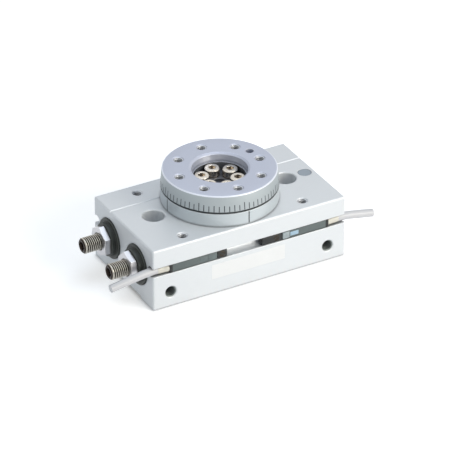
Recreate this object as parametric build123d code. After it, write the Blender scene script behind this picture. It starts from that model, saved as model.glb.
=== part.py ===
"""Pneumatic rotary table: two rack pistons turn a pinion, which carries a drilled table.

Millimetres. The origin is on the table's axis at the base plane, +Z is up, +X runs
along the body away from the adjusting bolts, and the air ports are on the -Y side.
"""
from build123d import *
import math
import os

# Clearances shared by all pieces
fixed_gap = 0.02
running_gap = 0.05
seat_gap = 0.05
seal_gap = 0.03

# Body block
body_length = 77.0
body_width = 43.5
body_height = 24.0
body_chamfer = 0.4
channel_width = 25.0
channel_depth = 1.2
line_offset = 9.8
line_width = 0.8
line_depth = 0.4

# Piston bores, one each side of the table's axis
bore_radius = 6.0
bore_spread = 10.0
bore_height = 13.0

# Rack and pinion
gear_module = 0.5
pinion_teeth = 20
pressure_angle = math.radians(20)
tooth_addendum = 0.5
tooth_dedendum = 0.625
tooth_backlash = 0.08
pinion_face = 9.0
swing_each_way = math.radians(95)

# Pistons
piston_length = 46.0
rack_teeth = 16
rack_margin = 0.3
piston_edge = 0.5
seal_start = 2.0
seal_width = 1.7
seal_depth = 1.4
magnet_start = 4.5
magnet_width = 2.0
magnet_depth = 1.7
wear_start = 7.4
wear_width = 2.2
wear_depth = 0.9

# Holes in the top of the body
mount_hole_x = 26.5
mount_hole_radius = 2.25
mount_bore_radius = 4.0
mount_bore_depth = 5.0
corner_hole_x = 24.0
corner_hole_y = 16.5
corner_hole_radius = 1.7
corner_hole_depth = 6.0
hole_chamfer = 0.35
passage_x = 34.5
passage_radius = 1.0
passage_depth = 12.0
plug_radius = 2.5
plug_thickness = 2.2

# Air ports
port_x = 31.5
port_height = 5.9
port_radius = 2.1
port_depth = 6.5
port_passage_radius = 0.7

# Sensor grooves in both long sides
groove_height = 15.2
groove_radius = 2.0
groove_centre_depth = 1.95
groove_opening = 3.4

# Bore closures on the bolt side
cap_radius = 7.5
cap_seat_depth = 1.0
cap_proud = 0.65
cap_thread_radius = 6.9
cap_thread_length = 3.4
cap_spigot_length = 1.6
cap_edge = 0.25
ring_seal_width = 1.0
ring_seal_depth = 0.7

# Bore closures on the far side
far_plug_radius = 6.9
far_plug_thickness = 2.3
far_spigot_length = 2.0
far_ring_thickness = 1.0
far_ring_reach = 0.7
far_ring_width = 1.6
far_ring_inset = 0.8

# Adjusting bolts and their nuts
bolt_radius = 2.95
bolt_outer_x = -49.8
bolt_edge = 0.6
bolt_socket_flats = 3.0
bolt_socket_depth = 3.0
pad_radius = 1.9
pad_thickness = 1.6
pad_proud = 0.4
nut_flats = 10.0
nut_thickness = 3.0
nut_turns = {"front": 21.0, "rear": 6.0}
stop_gap = 0.05

# Bearings: bore radius, outer radius, width, ball radius, number of balls, height of the lower face
upper_bearing = dict(bore=8.5, outer=13.0, width=5.0, ball=1.15, count=9, base=21.5)
lower_bearing = dict(bore=4.0, outer=7.0, width=4.0, ball=0.75, count=7, base=2.5)
race_share = 0.5
race_slack = 0.06
cage_wall = 0.7
bearing_ring_thickness = 0.7
bearing_ring_reach = 0.4
bearing_ring_width = 1.1

# Bearing retainer, the collar under the table
retainer_radius = 21.0
retainer_height = 5.3
retainer_lip_radius = 11.3
retainer_edge = 0.3
retainer_screw_circle = 17.0
retainer_screw_count = 4
retainer_screw_length = 8.0
retainer_head_radius = 2.9
retainer_head_height = 1.6
retainer_socket_flats = 2.0
retainer_socket_depth = 1.0

# Table
table_gap = 0.3
table_top = 36.0
table_radius = 21.0
table_rim_height = 2.8
table_rim_radius = 20.4
table_edge = 0.4
pilot_radius = 10.0
pilot_depth = 3.3
pilot_chamfer = 0.4
well_radius = 9.4
well_depth = 6.4
hub_radius = 10.1
floor_thickness = 2.35
floor_hole_radius = 2.8
table_hole_circle = 15.5
table_hole_count = 8
table_hole_radius = 1.7
table_hole_depth = 5.6
table_hole_turn = -4.6
locating_hole_radius = 1.5
locating_hole_depth = 3.5
locating_hole_turn = 18.0

# Screws that clamp the table to the pinion
clamp_screw_circle = 6.4
clamp_screw_count = 6
clamp_screw_turn = 26.0
clamp_screw_radius = 1.5
clamp_screw_length = 6.0
clamp_head_radius = 2.75
clamp_head_height = 3.0
clamp_socket_flats = 2.5
clamp_socket_depth = 1.4

# Pinion shaft
shaft_hole_radius = 2.5
shaft_end_height = 1.6
shoulder_radius = 4.85
teeth_base_height = 8.5
neck_radius = 4.7
collar_radius = 9.8
collar_thickness = 0.85
chamber_gap = 0.3

# Sensors in the front groove
sensor_inner_x = 8.5
sensor_length = 23.3
sensor_flush = 0.15
sensor_gap = 0.12
sensor_screw_radius = 1.2
sensor_screw_inset = 2.0
sensor_screw_length = 2.6
screw_slot_width = 0.4
screw_slot_depth = 0.7
lens_inset = 12.0
lens_length = 2.4
lens_height = 1.6
lens_thickness = 0.5
lead_radius = 1.45
lead_lengths = {"left": 22.4, "right": 19.0}
lead_drops = {"left": 2.3, "right": 2.3}

# Sizes worked out from the ones above
pitch_radius = gear_module * pinion_teeth / 2
pitch_step = math.pi * gear_module
tip_radius = pitch_radius + tooth_addendum
root_radius = pitch_radius - tooth_dedendum
rack_pitch_level = bore_spread - pitch_radius
chamber_radius = tip_radius + chamber_gap
piston_radius = bore_radius - running_gap
stroke_each_way = swing_each_way * pitch_radius
bolt_side = -body_length / 2
far_side = body_length / 2
front_face = -body_width / 2
cap_inner_x = bolt_side + cap_seat_depth + cap_thread_length + cap_spigot_length
far_shoulder_x = far_side - far_ring_inset - far_ring_thickness - far_plug_thickness
upper_top = upper_bearing["base"] + upper_bearing["width"]
lower_top = lower_bearing["base"] + lower_bearing["width"]
retainer_top = body_height + retainer_height
table_base = retainer_top + table_gap
clamp_seat = table_top - well_depth
shaft_top = clamp_seat - floor_thickness
teeth_top_height = teeth_base_height + pinion_face
bolt_hole_radius = bolt_radius + running_gap
sides = {"front": -1, "rear": 1}


def upright(radius, low, high, x=0.0, y=0.0):
    """A cylinder along Z between two heights."""
    return Pos(x, y, (low + high) / 2) * Cylinder(radius, high - low)


def lengthwise(radius, start, end, y=0.0, z=0.0):
    """A cylinder along X between two ends."""
    return Pos((start + end) / 2, y, z) * Rot(0, 90, 0) * Cylinder(radius, end - start)


def crosswise(radius, start, end, x=0.0, z=0.0):
    """A cylinder along Y between two ends."""
    return Pos(x, (start + end) / 2, z) * Rot(90, 0, 0) * Cylinder(radius, end - start)


def block(low, high):
    """A box between two corners."""
    size = [b - a for a, b in zip(low, high)]
    centre = [(a + b) / 2 for a, b in zip(low, high)]
    return Pos(*centre) * Box(*size)


def around(count, radius, turn=0.0):
    """The places of a bolt circle."""
    for index in range(count):
        angle = math.radians(turn) + 2 * math.pi * index / count
        yield radius * math.cos(angle), radius * math.sin(angle)


def entry_cone(radius, depth, face, x, y):
    """The chamfer at the mouth of an upright hole."""
    return Pos(x, y, face - depth / 2) * Cone(radius, radius + depth, depth)


def seal_ring(outer, inner, start, end, y, z):
    """A ring round the X axis, for seals and wear rings."""
    return lengthwise(outer, start, end, y, z) - lengthwise(inner, start - 1, end + 1, y, z)


def save(name, pieces):
    """Write one node; several pieces stay separate solids in it."""
    shape = pieces if not isinstance(pieces, list) else Compound(children=pieces)
    export_step(shape, f"parts/{name}.step")


def groove_tool(side):
    """The keyhole groove that holds a sensor, along the whole side of the body."""
    face = side * body_width / 2
    centre = face - side * groove_centre_depth
    bottom = lengthwise(groove_radius, bolt_side - 1, far_side + 1, centre, groove_height)
    low, high = sorted((centre, face + side))
    mouth = block((bolt_side - 1, low, groove_height - groove_opening / 2),
                  (far_side + 1, high, groove_height + groove_opening / 2))
    return bottom + mouth


def top_line_tool():
    """The small V groove that marks a straight line along the top."""
    half = line_width / 2
    outline = Polyline((line_offset - half, body_height), (line_offset, body_height - line_depth),
                       (line_offset + half, body_height), close=True)
    return Pos(bolt_side - 1, 0, 0) * extrude(Plane.YZ * make_face(outline), body_length + 2)


def bore_tools(side):
    """The piston bore with the seats of its two closures."""
    y = side * bore_spread
    z = bore_height
    bore = lengthwise(bore_radius, bolt_side - 1, far_side + 1, y, z)
    seat = lengthwise(cap_radius + running_gap, bolt_side - 1, bolt_side + cap_seat_depth, y, z)
    thread = lengthwise(cap_thread_radius + fixed_gap, bolt_side - 1,
                        bolt_side + cap_seat_depth + cap_thread_length, y, z)
    far_seat = lengthwise(far_plug_radius + fixed_gap, far_shoulder_x, far_side + 1, y, z)
    ring_start = far_side - far_ring_inset - far_ring_thickness
    ring_groove = lengthwise(far_plug_radius + far_ring_reach + fixed_gap, ring_start,
                             far_side - far_ring_inset + fixed_gap, y, z)
    return [bore, seat, thread, far_seat, ring_groove]


def top_hole_tools():
    """Mounting holes, corner threads and the plugged air passage."""
    tools = []
    for x in (-mount_hole_x, mount_hole_x):
        tools.append(upright(mount_hole_radius, -1, body_height + 1, x))
        tools.append(upright(mount_bore_radius, body_height - mount_bore_depth, body_height + 1, x))
        tools.append(entry_cone(mount_bore_radius, hole_chamfer, body_height, x, 0))
    for x in (-corner_hole_x, corner_hole_x):
        for y in (-corner_hole_y, corner_hole_y):
            tools.append(upright(corner_hole_radius, body_height - corner_hole_depth, body_height + 1, x, y))
            tools.append(entry_cone(corner_hole_radius, hole_chamfer, body_height, x, y))
    tools.append(upright(plug_radius + fixed_gap, body_height - plug_thickness, body_height + 1, passage_x))
    tools.append(upright(passage_radius, body_height - passage_depth, body_height + 1, passage_x))
    return tools


def port_tools():
    """Air ports in the front face, each with a drilled way up into the front bore."""
    tools = []
    port_end = front_face + port_depth
    rise = bore_height - port_height
    run = -bore_spread - port_end
    tilt = math.degrees(math.atan2(rise, run))
    reach = math.hypot(rise, run) - bore_radius / 2
    for x in (-port_x, port_x):
        tools.append(crosswise(port_radius, front_face - 1, port_end, x, port_height))
        tools.append(Pos(x, front_face + hole_chamfer / 2, port_height) * Rot(90, 0, 0)
                     * Cone(port_radius, port_radius + hole_chamfer, hole_chamfer))
        way = Pos(0, reach / 2, 0) * Rot(90, 0, 0) * Cylinder(port_passage_radius, reach)
        tools.append(Pos(x, port_end - port_passage_radius, port_height) * Rot(tilt, 0, 0) * way)
    return tools


def centre_tools():
    """The stack of seats and chambers on the table's axis."""
    return [
        upright(upper_bearing["outer"] + fixed_gap, upper_bearing["base"], body_height + 1),
        upright(collar_radius + 2 * chamber_gap, upper_bearing["base"] - collar_thickness - chamber_gap,
                body_height),
        upright(chamber_radius, lower_top, body_height),
        upright(lower_bearing["outer"] + fixed_gap, -1, lower_top),
        upright(lower_bearing["outer"] + bearing_ring_reach + fixed_gap,
                lower_bearing["base"] - bearing_ring_thickness - seat_gap, lower_bearing["base"]),
    ]


def retainer_screw_places():
    return list(around(retainer_screw_count, retainer_screw_circle, 45))


def make_body():
    body = block((bolt_side, front_face, 0), (far_side, -front_face, body_height))
    body = chamfer(body.edges(), body_chamfer)
    body -= block((bolt_side - 1, -channel_width / 2, -1), (far_side + 1, channel_width / 2, channel_depth))
    tools = [top_line_tool()] + top_hole_tools() + port_tools() + centre_tools()
    for side in sides.values():
        tools += bore_tools(side) + [groove_tool(side)]
    for x, y in retainer_screw_places():
        tip = retainer_top - retainer_screw_length - seat_gap
        tools.append(upright(clamp_screw_radius + fixed_gap, tip, body_height + 1, x, y))
    for tool in tools:
        body -= tool
    return body


def make_retainer():
    ring = upright(retainer_radius, body_height, retainer_top)
    ring = chamfer(ring.edges().group_by(Axis.Z)[-1], retainer_edge)
    ring -= upright(upper_bearing["outer"] + fixed_gap, body_height - 1, upper_top + seat_gap)
    ring -= upright(retainer_lip_radius, body_height, retainer_top + 1)
    for x, y in retainer_screw_places():
        ring -= upright(clamp_screw_radius + running_gap, body_height - 1, retainer_top + 1, x, y)
        ring -= Pos(x, y, retainer_top - retainer_head_height / 2) * Cone(
            clamp_screw_radius + running_gap, retainer_head_radius + running_gap, retainer_head_height)
    return ring


def make_retainer_screws():
    screws = []
    for x, y in retainer_screw_places():
        top = retainer_top - seat_gap
        screw = upright(clamp_screw_radius, retainer_top - retainer_screw_length, top, x, y)
        screw += Pos(x, y, top - retainer_head_height / 2) * Cone(
            clamp_screw_radius, retainer_head_radius, retainer_head_height)
        socket = extrude(RegularPolygon(retainer_socket_flats / 2, 6, major_radius=False), retainer_socket_depth)
        screws.append(screw - Pos(x, y, top - retainer_socket_depth) * socket)
    return screws


def make_passage_plug():
    plug = upright(plug_radius, body_height - plug_thickness, body_height - seat_gap, passage_x)
    return chamfer(plug.edges().group_by(Axis.Z)[-1], hole_chamfer / 2)


def make_table():
    table = upright(table_radius, table_base, table_top - table_rim_height)
    table = chamfer(table.edges(), table_edge / 2)
    rim = upright(table_rim_radius, table_base + table_edge, table_top)
    table += chamfer(rim.edges().group_by(Axis.Z)[-1], table_edge)
    table += upright(hub_radius, upper_top + seat_gap, table_base + 1)
    table -= upright(upper_bearing["bore"], upper_top - 1, shaft_top)
    table -= upright(well_radius, clamp_seat, table_top + 1)
    table -= upright(pilot_radius, table_top - pilot_depth, table_top + 1)
    table -= entry_cone(pilot_radius, pilot_chamfer, table_top, 0, 0)
    table -= upright(floor_hole_radius, shaft_top - 1, table_top)
    for x, y in around(clamp_screw_count, clamp_screw_circle, clamp_screw_turn):
        table -= upright(clamp_screw_radius + running_gap, shaft_top - 1, table_top, x, y)
    for x, y in around(table_hole_count, table_hole_circle, table_hole_turn):
        table -= upright(table_hole_radius, table_top - table_hole_depth, table_top + 1, x, y)
        table -= entry_cone(table_hole_radius, hole_chamfer, table_top, x, y)
    x, y = next(around(1, table_hole_circle, locating_hole_turn))
    table -= upright(locating_hole_radius, table_top - locating_hole_depth, table_top + 1, x, y)
    return table


def make_clamp_screws():
    screws = []
    for x, y in around(clamp_screw_count, clamp_screw_circle, clamp_screw_turn):
        shank = upright(clamp_screw_radius - fixed_gap, clamp_seat - clamp_screw_length, clamp_seat, x, y)
        head = upright(clamp_head_radius, clamp_seat, clamp_seat + clamp_head_height, x, y)
        head = chamfer(head.edges().group_by(Axis.Z)[-1], hole_chamfer)
        socket = extrude(RegularPolygon(clamp_socket_flats / 2, 6, major_radius=False), clamp_socket_depth)
        head -= Pos(x, y, clamp_seat + clamp_head_height - clamp_socket_depth) * socket
        screws.append(shank + head)
    return screws


def pinion_outline():
    """Involute teeth, one centred on the -Y direction."""
    base_radius = pitch_radius * math.cos(pressure_angle)
    involute = math.tan(pressure_angle) - pressure_angle

    def half_angle(radius):
        slope = math.acos(min(1.0, base_radius / radius))
        slack = tooth_backlash / 2 / pitch_radius
        return math.pi / 2 / pinion_teeth + involute - (math.tan(slope) - slope) - slack

    def place(radius, angle):
        return radius * math.cos(angle), radius * math.sin(angle)

    foot = half_angle(base_radius)
    edges = []
    for index in range(pinion_teeth):
        middle = -math.pi / 2 + 2 * math.pi * index / pinion_teeth
        following = middle + 2 * math.pi / pinion_teeth
        rising = [place(r, middle - half_angle(r)) for r in (base_radius, pitch_radius, tip_radius)]
        falling = [place(r, middle + half_angle(r)) for r in (tip_radius, pitch_radius, base_radius)]
        edges.append(Line(place(root_radius, middle - foot), rising[0]))
        edges.append(ThreePointArc(*rising))
        edges.append(Line(rising[2], falling[0]))
        edges.append(ThreePointArc(*falling))
        edges.append(Line(falling[2], place(root_radius, middle + foot)))
        edges.append(Line(place(root_radius, middle + foot), place(root_radius, following - foot)))
    return make_face(edges)


def make_pinion_shaft():
    shaft = upright(lower_bearing["bore"] - fixed_gap, shaft_end_height, teeth_base_height)
    shaft = chamfer(shaft.edges().group_by(Axis.Z)[0], body_chamfer)
    shaft += upright(shoulder_radius, lower_top + seat_gap, teeth_base_height)
    shaft += Pos(0, 0, teeth_base_height) * extrude(pinion_outline(), pinion_face)
    collar_top = upper_bearing["base"] - seat_gap
    shaft += upright(neck_radius, teeth_top_height, collar_top)
    shaft += upright(collar_radius, collar_top - collar_thickness, collar_top)
    shaft += upright(upper_bearing["bore"] - fixed_gap, collar_top, shaft_top - seat_gap)
    shaft -= upright(shaft_hole_radius, 0, table_top)
    for x, y in around(clamp_screw_count, clamp_screw_circle, clamp_screw_turn):
        tip = clamp_seat - clamp_screw_length - seat_gap
        shaft -= upright(clamp_screw_radius, tip, table_top, x, y)
    return shaft


def bearing_pieces(size):
    """Rings, balls and cage of one ball bearing."""
    middle = (size["bore"] + size["outer"]) / 2
    low, high = size["base"], size["base"] + size["width"]
    centre = (low + high) / 2
    race = Pos(0, 0, centre) * Torus(middle, size["ball"] + race_slack)
    gap = race_share * size["ball"]
    outer = upright(size["outer"], low, high) - upright(middle + gap, low - 1, high + 1) - race
    inner = upright(middle - gap, low, high) - upright(size["bore"], low - 1, high + 1) - race
    half_cage = cage_wall / 2
    cage = upright(middle + half_cage, centre - size["ball"] / 2, high - size["ball"] / 2)
    cage -= upright(middle - half_cage, low, high)
    balls = []
    for index in range(size["count"]):
        place = Rot(0, 0, 360 * index / size["count"]) * Pos(middle, 0, centre)
        balls.append(place * Sphere(size["ball"]))
        cage -= place * Rot(0, 90, 0) * Cylinder(size["ball"] + race_slack, 2 * cage_wall)
    return outer, inner, balls, cage


def spring_ring(outer, width, thickness):
    """A snap ring for a bore, open at one place with an eye at each end."""
    middle = outer - width / 2
    eye_radius = width * 0.75
    ring = Cylinder(outer, thickness) - Cylinder(outer - width, thickness)
    opening = 2.6 * eye_radius
    ring -= Pos(0, -outer, 0) * Box(opening, 2 * outer, thickness)
    for end in (-1, 1):
        angle = -math.pi / 2 + end * (opening / 2 + eye_radius / 2) / middle
        place = Pos((middle - width / 4) * math.cos(angle), (middle - width / 4) * math.sin(angle), 0)
        ring += place * Cylinder(eye_radius, thickness)
        ring -= place * Cylinder(eye_radius / 2, thickness)
    return ring


def make_bearing_ring():
    ring = spring_ring(lower_bearing["outer"] + bearing_ring_reach, bearing_ring_width, bearing_ring_thickness)
    return Pos(0, 0, lower_bearing["base"] - seat_gap / 2 - bearing_ring_thickness / 2) * ring


def head_spans(start, width):
    """Where a groove lies on both heads of a piston, counted from each end face."""
    half = piston_length / 2
    return [(-half + start, -half + start + width), (half - start - width, half - start)]


def make_piston(side):
    """A round piston whose middle is cut to a rack that faces the pinion."""
    half = piston_length / 2
    y = side * bore_spread
    piston = chamfer(lengthwise(piston_radius, -half, half, y, bore_height).edges(), piston_edge)
    grooves = [(seal_start, seal_width, seal_depth), (magnet_start, magnet_width, magnet_depth),
               (wear_start, wear_width, wear_depth)]
    for start, width, depth in grooves:
        for low, high in head_spans(start, width):
            piston -= seal_ring(bore_radius + 1, bore_radius - depth, low, high, y, bore_height)
    return piston - rack_tool(side)


def rack_tool(side):
    """Everything between the teeth: the flat over the rack and the gaps down to the roots."""
    slope = math.tan(pressure_angle)
    tip = rack_pitch_level - tooth_addendum
    root = rack_pitch_level + tooth_dedendum
    half_pitch = (pitch_step / 2 - tooth_backlash) / 2
    reach = pitch_step * rack_teeth / 2 + rack_margin
    points = [(-reach, 0), (-reach, root)]
    for index in range(rack_teeth):
        middle = (index - (rack_teeth - 1) / 2) * pitch_step
        foot = half_pitch + tooth_dedendum * slope
        crest = half_pitch - tooth_addendum * slope
        points += [(middle - foot, root), (middle - crest, tip), (middle + crest, tip), (middle + foot, root)]
    points += [(reach, root), (reach, 0)]
    outline = Polyline(*[(x, side * y) for x, y in points], close=True)
    cut = extrude(make_face(outline), bore_radius, both=True)
    return Pos(0, 0, bore_height) * cut


def head_rings(side, start, width, depth, gap):
    """The pair of rings in one kind of groove, one on each head."""
    rings = []
    for low, high in head_spans(start, width):
        rings.append(seal_ring(bore_radius - gap, bore_radius - depth + fixed_gap, low + fixed_gap,
                               high - fixed_gap, side * bore_spread, bore_height))
    return rings


def make_cap(side):
    """The black closure that an adjusting bolt is screwed through."""
    y, z = side * bore_spread, bore_height
    shoulder = bolt_side + cap_seat_depth
    flange = lengthwise(cap_radius, bolt_side - cap_proud, shoulder - fixed_gap, y, z)
    cap = chamfer(flange.edges().group_by(Axis.X)[0], cap_edge)
    cap += lengthwise(cap_thread_radius, shoulder - cap_seat_depth / 2, shoulder + cap_thread_length - seat_gap, y, z)
    cap += lengthwise(piston_radius, shoulder, cap_inner_x, y, z)
    cap -= lengthwise(bolt_hole_radius, bolt_side - 2 * cap_proud, cap_inner_x + 1, y, z)
    groove_end = cap_inner_x - cap_spigot_length / 4
    return cap - seal_ring(bore_radius + 1, bore_radius - ring_seal_depth, groove_end - ring_seal_width,
                           groove_end, y, z)


def make_cap_seal(side):
    groove_end = cap_inner_x - cap_spigot_length / 4
    return seal_ring(bore_radius - fixed_gap, bore_radius - ring_seal_depth + fixed_gap,
                     groove_end - ring_seal_width + fixed_gap, groove_end - fixed_gap,
                     side * bore_spread, bore_height)


def bolt_tip_x():
    """The inner end of an adjusting bolt, set so that its pad meets the piston at full swing."""
    return -piston_length / 2 - stroke_each_way - stop_gap - pad_proud


def make_bolt(side):
    y, z = side * bore_spread, bore_height
    tip = bolt_tip_x()
    bolt = chamfer(lengthwise(bolt_radius, bolt_outer_x, tip, y, z).edges(), bolt_edge)
    socket = extrude(Plane.YZ * RegularPolygon(bolt_socket_flats / 2, 6, major_radius=False), bolt_socket_depth)
    bolt -= Pos(bolt_outer_x, y, z) * socket
    return bolt - lengthwise(pad_radius + fixed_gap, tip - pad_thickness + pad_proud, tip + 1, y, z)


def make_pad(side):
    tip = bolt_tip_x()
    return lengthwise(pad_radius, tip - pad_thickness + pad_proud + fixed_gap, tip + pad_proud,
                      side * bore_spread, bore_height)


def make_nut(name):
    """A thin hexagon nut with its corners turned off at both faces."""
    seat = bolt_side - cap_proud
    corner = nut_flats / 2 / math.cos(math.pi / 6)
    drop = (corner - nut_flats / 2) * math.tan(math.radians(30)) * 2
    hexagon = Rot(nut_turns[name], 0, 0) * extrude(
        Plane.YZ * RegularPolygon(nut_flats / 2, 6, major_radius=False), nut_thickness)
    turned = chamfer((Pos(nut_thickness / 2, 0, 0) * Rot(0, 90, 0) * Cylinder(corner, nut_thickness)).edges(),
                     drop / 2, drop)
    nut = (hexagon & turned) - lengthwise(bolt_hole_radius, -1, nut_thickness + 1)
    return Pos(seat - nut_thickness, sides[name] * bore_spread, bore_height) * nut


def make_far_plug(side):
    y, z = side * bore_spread, bore_height
    start = far_shoulder_x - far_spigot_length
    plug = lengthwise(far_plug_radius, far_shoulder_x + fixed_gap, far_shoulder_x + far_plug_thickness - fixed_gap,
                      y, z)
    plug += lengthwise(piston_radius, start, far_shoulder_x + far_plug_thickness / 2, y, z)
    low = start + far_spigot_length / 4
    return plug - seal_ring(bore_radius + 1, bore_radius - ring_seal_depth, low, low + ring_seal_width, y, z)


def make_far_seal(side):
    low = far_shoulder_x - far_spigot_length * 3 / 4
    return seal_ring(bore_radius - fixed_gap, bore_radius - ring_seal_depth + fixed_gap, low + fixed_gap,
                     low + ring_seal_width - fixed_gap, side * bore_spread, bore_height)


def make_far_ring(side):
    ring = spring_ring(far_plug_radius + far_ring_reach, far_ring_width, far_ring_thickness - 2 * fixed_gap)
    x = far_side - far_ring_inset - far_ring_thickness / 2
    return Pos(x, side * bore_spread, bore_height) * Rot(0, 90, 0) * ring


def sensor_span(hand):
    """The two ends of a sensor along X, the inner one first."""
    return hand * sensor_inner_x, hand * (sensor_inner_x + sensor_length)


def sensor_axis_y():
    return front_face + groove_centre_depth


def screw_x(hand):
    return hand * (sensor_inner_x + sensor_screw_inset)


def lens_box(hand):
    low, high = sorted((hand * (sensor_inner_x + lens_inset), hand * (sensor_inner_x + lens_inset + lens_length)))
    face = front_face + sensor_flush
    return block((low, face, groove_height - lens_height / 2),
                 (high, face + lens_thickness, groove_height + lens_height / 2))


def make_sensor(hand):
    start, end = sorted(sensor_span(hand))
    radius = groove_radius - sensor_gap
    half_mouth = groove_opening / 2 - sensor_gap
    sensor = lengthwise(radius, start, end, sensor_axis_y(), groove_height)
    sensor += block((start, front_face + sensor_flush, groove_height - half_mouth),
                    (end, sensor_axis_y(), groove_height + half_mouth))
    sensor -= crosswise(sensor_screw_radius + fixed_gap, front_face - 1, sensor_axis_y() + groove_radius,
                        screw_x(hand), groove_height)
    sensor -= lens_box(hand)
    return sensor


def make_sensor_screw(hand):
    """A slotted grub screw that jams the sensor in its groove."""
    start = front_face + 2 * sensor_flush
    screw = crosswise(sensor_screw_radius, start, start + sensor_screw_length, screw_x(hand), groove_height)
    reach = 2 * sensor_screw_radius
    slot = Box(reach, 2 * screw_slot_depth, screw_slot_width)
    return screw - Pos(screw_x(hand), start, groove_height) * Rot(0, 35 * hand, 0) * slot


def make_lead(name, hand):
    """A short lead end that runs out along the groove and sags a little past the body."""
    start = sensor_span(hand)[1]
    length = lead_lengths[name]
    exit_run = body_length / 2 - abs(start)
    y = sensor_axis_y()
    route = [(start, y, groove_height), (start + hand * exit_run * 1.1, y, groove_height),
             (start + hand * length, y, groove_height - lead_drops[name])]
    turn = math.atan2(lead_drops[name], length - exit_run * 1.1)
    bend = 0.45 * exit_run * 1.1 / math.tan(turn / 2)
    path = FilletPolyline(*route, radius=bend)
    section = Plane(origin=route[0], z_dir=(hand, 0, 0)) * Circle(lead_radius)
    return sweep(section, path=path)


def main():
    os.makedirs("parts", exist_ok=True)
    save("body", make_body())
    save("bearing_retainer", make_retainer())
    save("retainer_screws", make_retainer_screws())
    save("passage_plug", make_passage_plug())
    save("table", make_table())
    save("table_screws", make_clamp_screws())
    save("pinion_shaft", make_pinion_shaft())
    for level, size in (("upper", upper_bearing), ("lower", lower_bearing)):
        outer, inner, balls, cage = bearing_pieces(size)
        save(f"{level}_bearing_outer_ring", outer)
        save(f"{level}_bearing_inner_ring", inner)
        save(f"{level}_bearing_balls", balls)
        save(f"{level}_bearing_cage", cage)
    save("lower_bearing_snap_ring", make_bearing_ring())
    for name, side in sides.items():
        save(f"{name}_rack_piston", make_piston(side))
        save(f"{name}_piston_seals", head_rings(side, seal_start, seal_width, seal_depth, seal_gap))
        save(f"{name}_piston_magnets",
             head_rings(side, magnet_start, magnet_width, magnet_depth, 2 * running_gap))
        save(f"{name}_wear_rings", head_rings(side, wear_start, wear_width, wear_depth, seal_gap))
        save(f"{name}_end_cap", make_cap(side))
        save(f"{name}_end_cap_seal", make_cap_seal(side))
        save(f"{name}_adjusting_bolt", make_bolt(side))
        save(f"{name}_cushion_pad", make_pad(side))
        save(f"{name}_lock_nut", make_nut(name))
        save(f"{name}_bore_plug", make_far_plug(side))
        save(f"{name}_bore_plug_seal", make_far_seal(side))
        save(f"{name}_plug_snap_ring", make_far_ring(side))
    for name, hand in (("left", -1), ("right", 1)):
        save(f"{name}_sensor", make_sensor(hand))
        save(f"{name}_sensor_screw", make_sensor_screw(hand))
        save(f"{name}_sensor_lens", lens_box(hand))
        save(f"{name}_sensor_lead", make_lead(name, hand))


main()
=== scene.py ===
import bpy
import bmesh
import math
from mathutils import Matrix, Vector


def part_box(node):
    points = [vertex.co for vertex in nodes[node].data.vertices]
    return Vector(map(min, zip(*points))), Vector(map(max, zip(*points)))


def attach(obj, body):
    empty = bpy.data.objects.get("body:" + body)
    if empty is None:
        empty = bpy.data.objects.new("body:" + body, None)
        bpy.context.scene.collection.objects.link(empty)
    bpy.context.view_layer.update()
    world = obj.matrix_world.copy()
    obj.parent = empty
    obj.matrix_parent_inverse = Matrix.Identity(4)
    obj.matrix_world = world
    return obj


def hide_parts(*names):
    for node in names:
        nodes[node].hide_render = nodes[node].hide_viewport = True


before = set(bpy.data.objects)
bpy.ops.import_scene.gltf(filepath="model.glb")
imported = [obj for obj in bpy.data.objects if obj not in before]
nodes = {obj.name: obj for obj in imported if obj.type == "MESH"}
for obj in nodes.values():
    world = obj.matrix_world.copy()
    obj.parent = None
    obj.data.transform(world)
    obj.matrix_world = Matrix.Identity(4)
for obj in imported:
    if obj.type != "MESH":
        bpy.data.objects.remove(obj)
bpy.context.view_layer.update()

mm = 0.001

# Millimetres: points this near become one, and how far a point may be from the place a test names
near = {"spun": 0.00001, "copied": 0.001, "test": 0.001}


def say(stage):
    print("rotary table:", stage)


# Camera: the photograph's own viewing angle
shot = {
    "azimuth": -29.272,
    "elevation": 31.017,
    "distance": 1543.3,
    "focalPixels": 4350.9,
    "imageSize": 450,
    "sensorWidth": 36.0,
    "aimRight": 1.861,
    "aimUp": 10.555,
}


def makeCamera():
    azimuth = math.radians(shot["azimuth"])
    elevation = math.radians(shot["elevation"])
    back = Vector((math.sin(azimuth) * math.cos(elevation), -math.cos(azimuth) * math.cos(elevation),
                   math.sin(elevation)))
    right = Vector((math.cos(azimuth), math.sin(azimuth), 0))
    up = back.cross(right)
    data = bpy.data.cameras.new("camera")
    data.sensor_width = shot["sensorWidth"]
    data.lens = shot["focalPixels"] / shot["imageSize"] * shot["sensorWidth"]
    camera = bpy.data.objects.new("camera", data)
    bpy.context.scene.collection.objects.link(camera)
    camera.location = (right * shot["aimRight"] + up * shot["aimUp"] + back * shot["distance"]) * mm
    camera.rotation_mode = "QUATERNION"
    camera.rotation_quaternion = (-back).to_track_quat("-Z", "Y")
    bpy.context.scene.camera = camera


# Small helpers for node trees
def addNode(tree, kind, inputs=None, **settings):
    made = tree.nodes.new(kind)
    for name, value in settings.items():
        setattr(made, name, value)
    for name, value in (inputs or {}).items():
        socket = made.inputs[name]
        if isinstance(value, bpy.types.NodeSocket):
            tree.links.new(value, socket)
        else:
            socket.default_value = value
    return made


def feed(tree, made, values):
    for index, value in enumerate(values):
        if isinstance(value, bpy.types.NodeSocket):
            tree.links.new(value, made.inputs[index])
        else:
            made.inputs[index].default_value = value
    return made


def calc(tree, operation, *values):
    return feed(tree, addNode(tree, "ShaderNodeMath", operation=operation), values).outputs[0]


def vectorCalc(tree, operation, *values):
    return feed(tree, addNode(tree, "ShaderNodeVectorMath", operation=operation), values)


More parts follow.
